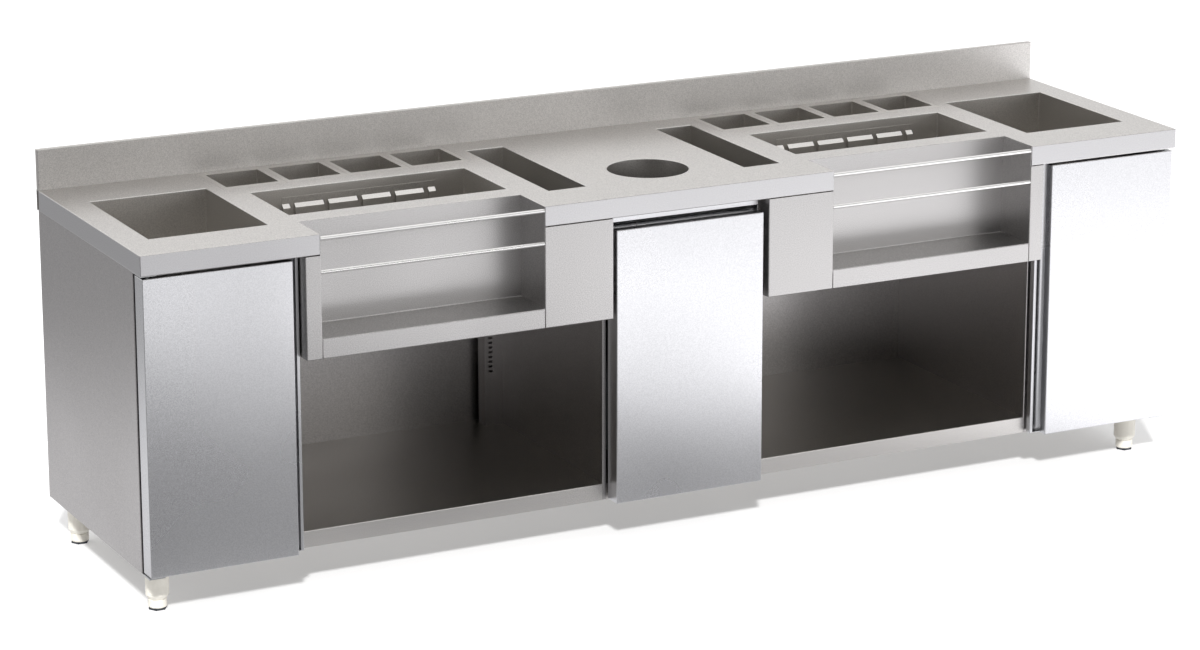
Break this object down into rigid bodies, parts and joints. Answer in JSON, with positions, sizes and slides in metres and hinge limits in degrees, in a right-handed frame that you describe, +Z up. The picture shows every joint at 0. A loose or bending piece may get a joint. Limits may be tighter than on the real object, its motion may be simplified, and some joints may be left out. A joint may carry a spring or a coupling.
{
  "type": "cocktail station",
  "caption": "Stainless steel bar workstation with worktop, sinks, ice wells, bottle wells, garnish pans, speed rails, waste chute, hinged side doors and open bays on adjustable feet.",
  "frame": {"origin": "on the floor, under the middle of the overall box", "axes": "+X to the right along the front, +Y from the front to the wall, +Z up"},
  "size_m": [2.8, 0.7, 0.975],
  "materials": {
    "worktop_steel": "satin",
    "well_steel": "satin",
    "front_steel": "fine satin",
    "cabinet_steel": "satin",
    "hardware_steel": "smooth",
    "rod_steel": "polished",
    "foot_plastic": "smooth matt",
    "bin_plastic": "matt",
    "bush_plastic": "matt",
    "insulation_foam": "soft matt"
  },
  "bodies": {
    "station": {"worktop": "worktop_steel", "upstand": "worktop_steel", "left_sink_bowl": "well_steel", "right_sink_bowl": "well_steel", "drain_fittings": "hardware_steel", "left_ice_well": "well_steel", "right_ice_well": "well_steel", "ice_well_jackets": "insulation_foam", "divider_guides": "well_steel", "bottle_wells": "well_steel", "waste_chute": "worktop_steel", "pan_ledges": "worktop_steel", "left_speed_rail": "well_steel", "right_speed_rail": "well_steel", "bottle_rods": "rod_steel", "rail_cheeks": "front_steel", "rail_aprons": "front_steel", "left_side_panel": "cabinet_steel", "right_side_panel": "cabinet_steel", "left_bay_partition": "cabinet_steel", "right_bay_partition": "cabinet_steel", "left_centre_partition": "cabinet_steel", "right_centre_partition": "cabinet_steel", "back_panel": "cabinet_steel", "cabinet_floors": "cabinet_steel", "bay_floors": "cabinet_steel", "shelf_upright": "cabinet_steel", "runner_channels": "hardware_steel", "hinge_brackets": "hardware_steel", "foot_sleeves": "foot_plastic"},
    "left_door": {"left_door_skin": "front_steel", "left_door_grip": "front_steel", "left_grip_hook": "front_steel", "left_door_liner": "front_steel", "left_door_bushes": "bush_plastic"},
    "right_door": {"right_door_skin": "front_steel", "right_door_grip": "front_steel", "right_grip_hook": "front_steel", "right_door_liner": "front_steel", "right_door_bushes": "bush_plastic"},
    "waste_drawer": {"drawer_skin": "front_steel", "drawer_grip": "front_steel", "drawer_liner": "front_steel", "bin_carrier": "hardware_steel", "runner_slides": "hardware_steel", "waste_bin": "bin_plastic"},
    "left_pan_1_body": {"left_pan_1": "well_steel"},
    "left_pan_2_body": {"left_pan_2": "well_steel"},
    "left_pan_3_body": {"left_pan_3": "well_steel"},
    "left_pan_4_body": {"left_pan_4": "well_steel"},
    "left_ice_grid_body": {"left_ice_grid": "well_steel"},
    "right_pan_1_body": {"right_pan_1": "well_steel"},
    "right_pan_2_body": {"right_pan_2": "well_steel"},
    "right_pan_3_body": {"right_pan_3": "well_steel"},
    "right_pan_4_body": {"right_pan_4": "well_steel"},
    "right_ice_grid_body": {"right_ice_grid": "well_steel"},
    "front_left_foot_body": {"front_left_foot": "foot_plastic"},
    "front_right_foot_body": {"front_right_foot": "foot_plastic"},
    "back_left_foot_body": {"back_left_foot": "foot_plastic"},
    "back_right_foot_body": {"back_right_foot": "foot_plastic"}
  },
  "joints": [
    {"name": "left_door_hinge", "type": "hinge", "parent": "station", "child": "left_door", "pos_m": [-1.3745, -0.324, 0.461], "axis": [0, 0, -1], "range_deg": [0, 110]},
    {"name": "right_door_hinge", "type": "hinge", "parent": "station", "child": "right_door", "pos_m": [1.3745, -0.324, 0.461], "axis": [0, 0, 1], "range_deg": [0, 110]},
    {"name": "waste_drawer_slide", "type": "slide", "parent": "station", "child": "waste_drawer", "axis": [0, -1, 0], "range_m": [0, 0.4]},
    {"name": "left_pan_1_lift", "type": "slide", "parent": "station", "child": "left_pan_1_body", "axis": [0, 0, 1], "range_m": [0, 0.15]},
    {"name": "left_pan_2_lift", "type": "slide", "parent": "station", "child": "left_pan_2_body", "axis": [0, 0, 1], "range_m": [0, 0.15]},
    {"name": "left_pan_3_lift", "type": "slide", "parent": "station", "child": "left_pan_3_body", "axis": [0, 0, 1], "range_m": [0, 0.15]},
    {"name": "left_pan_4_lift", "type": "slide", "parent": "station", "child": "left_pan_4_body", "axis": [0, 0, 1], "range_m": [0, 0.15]},
    {"name": "left_ice_grid_lift", "type": "slide", "parent": "station", "child": "left_ice_grid_body", "axis": [0, 0, 1], "range_m": [0, 0.28]},
    {"name": "right_pan_1_lift", "type": "slide", "parent": "station", "child": "right_pan_1_body", "axis": [0, 0, 1], "range_m": [0, 0.15]},
    {"name": "right_pan_2_lift", "type": "slide", "parent": "station", "child": "right_pan_2_body", "axis": [0, 0, 1], "range_m": [0, 0.15]},
    {"name": "right_pan_3_lift", "type": "slide", "parent": "station", "child": "right_pan_3_body", "axis": [0, 0, 1], "range_m": [0, 0.15]},
    {"name": "right_pan_4_lift", "type": "slide", "parent": "station", "child": "right_pan_4_body", "axis": [0, 0, 1], "range_m": [0, 0.15]},
    {"name": "right_ice_grid_lift", "type": "slide", "parent": "station", "child": "right_ice_grid_body", "axis": [0, 0, 1], "range_m": [0, 0.28]},
    {"name": "front_left_foot_adjuster", "type": "slide", "parent": "station", "child": "front_left_foot_body", "axis": [0, 0, -1], "range_m": [0, 0.03]},
    {"name": "front_right_foot_adjuster", "type": "slide", "parent": "station", "child": "front_right_foot_body", "axis": [0, 0, -1], "range_m": [0, 0.03]},
    {"name": "back_left_foot_adjuster", "type": "slide", "parent": "station", "child": "back_left_foot_body", "axis": [0, 0, -1], "range_m": [0, 0.03]},
    {"name": "back_right_foot_adjuster", "type": "slide", "parent": "station", "child": "back_right_foot_body", "axis": [0, 0, -1], "range_m": [0, 0.03]}
  ]
}
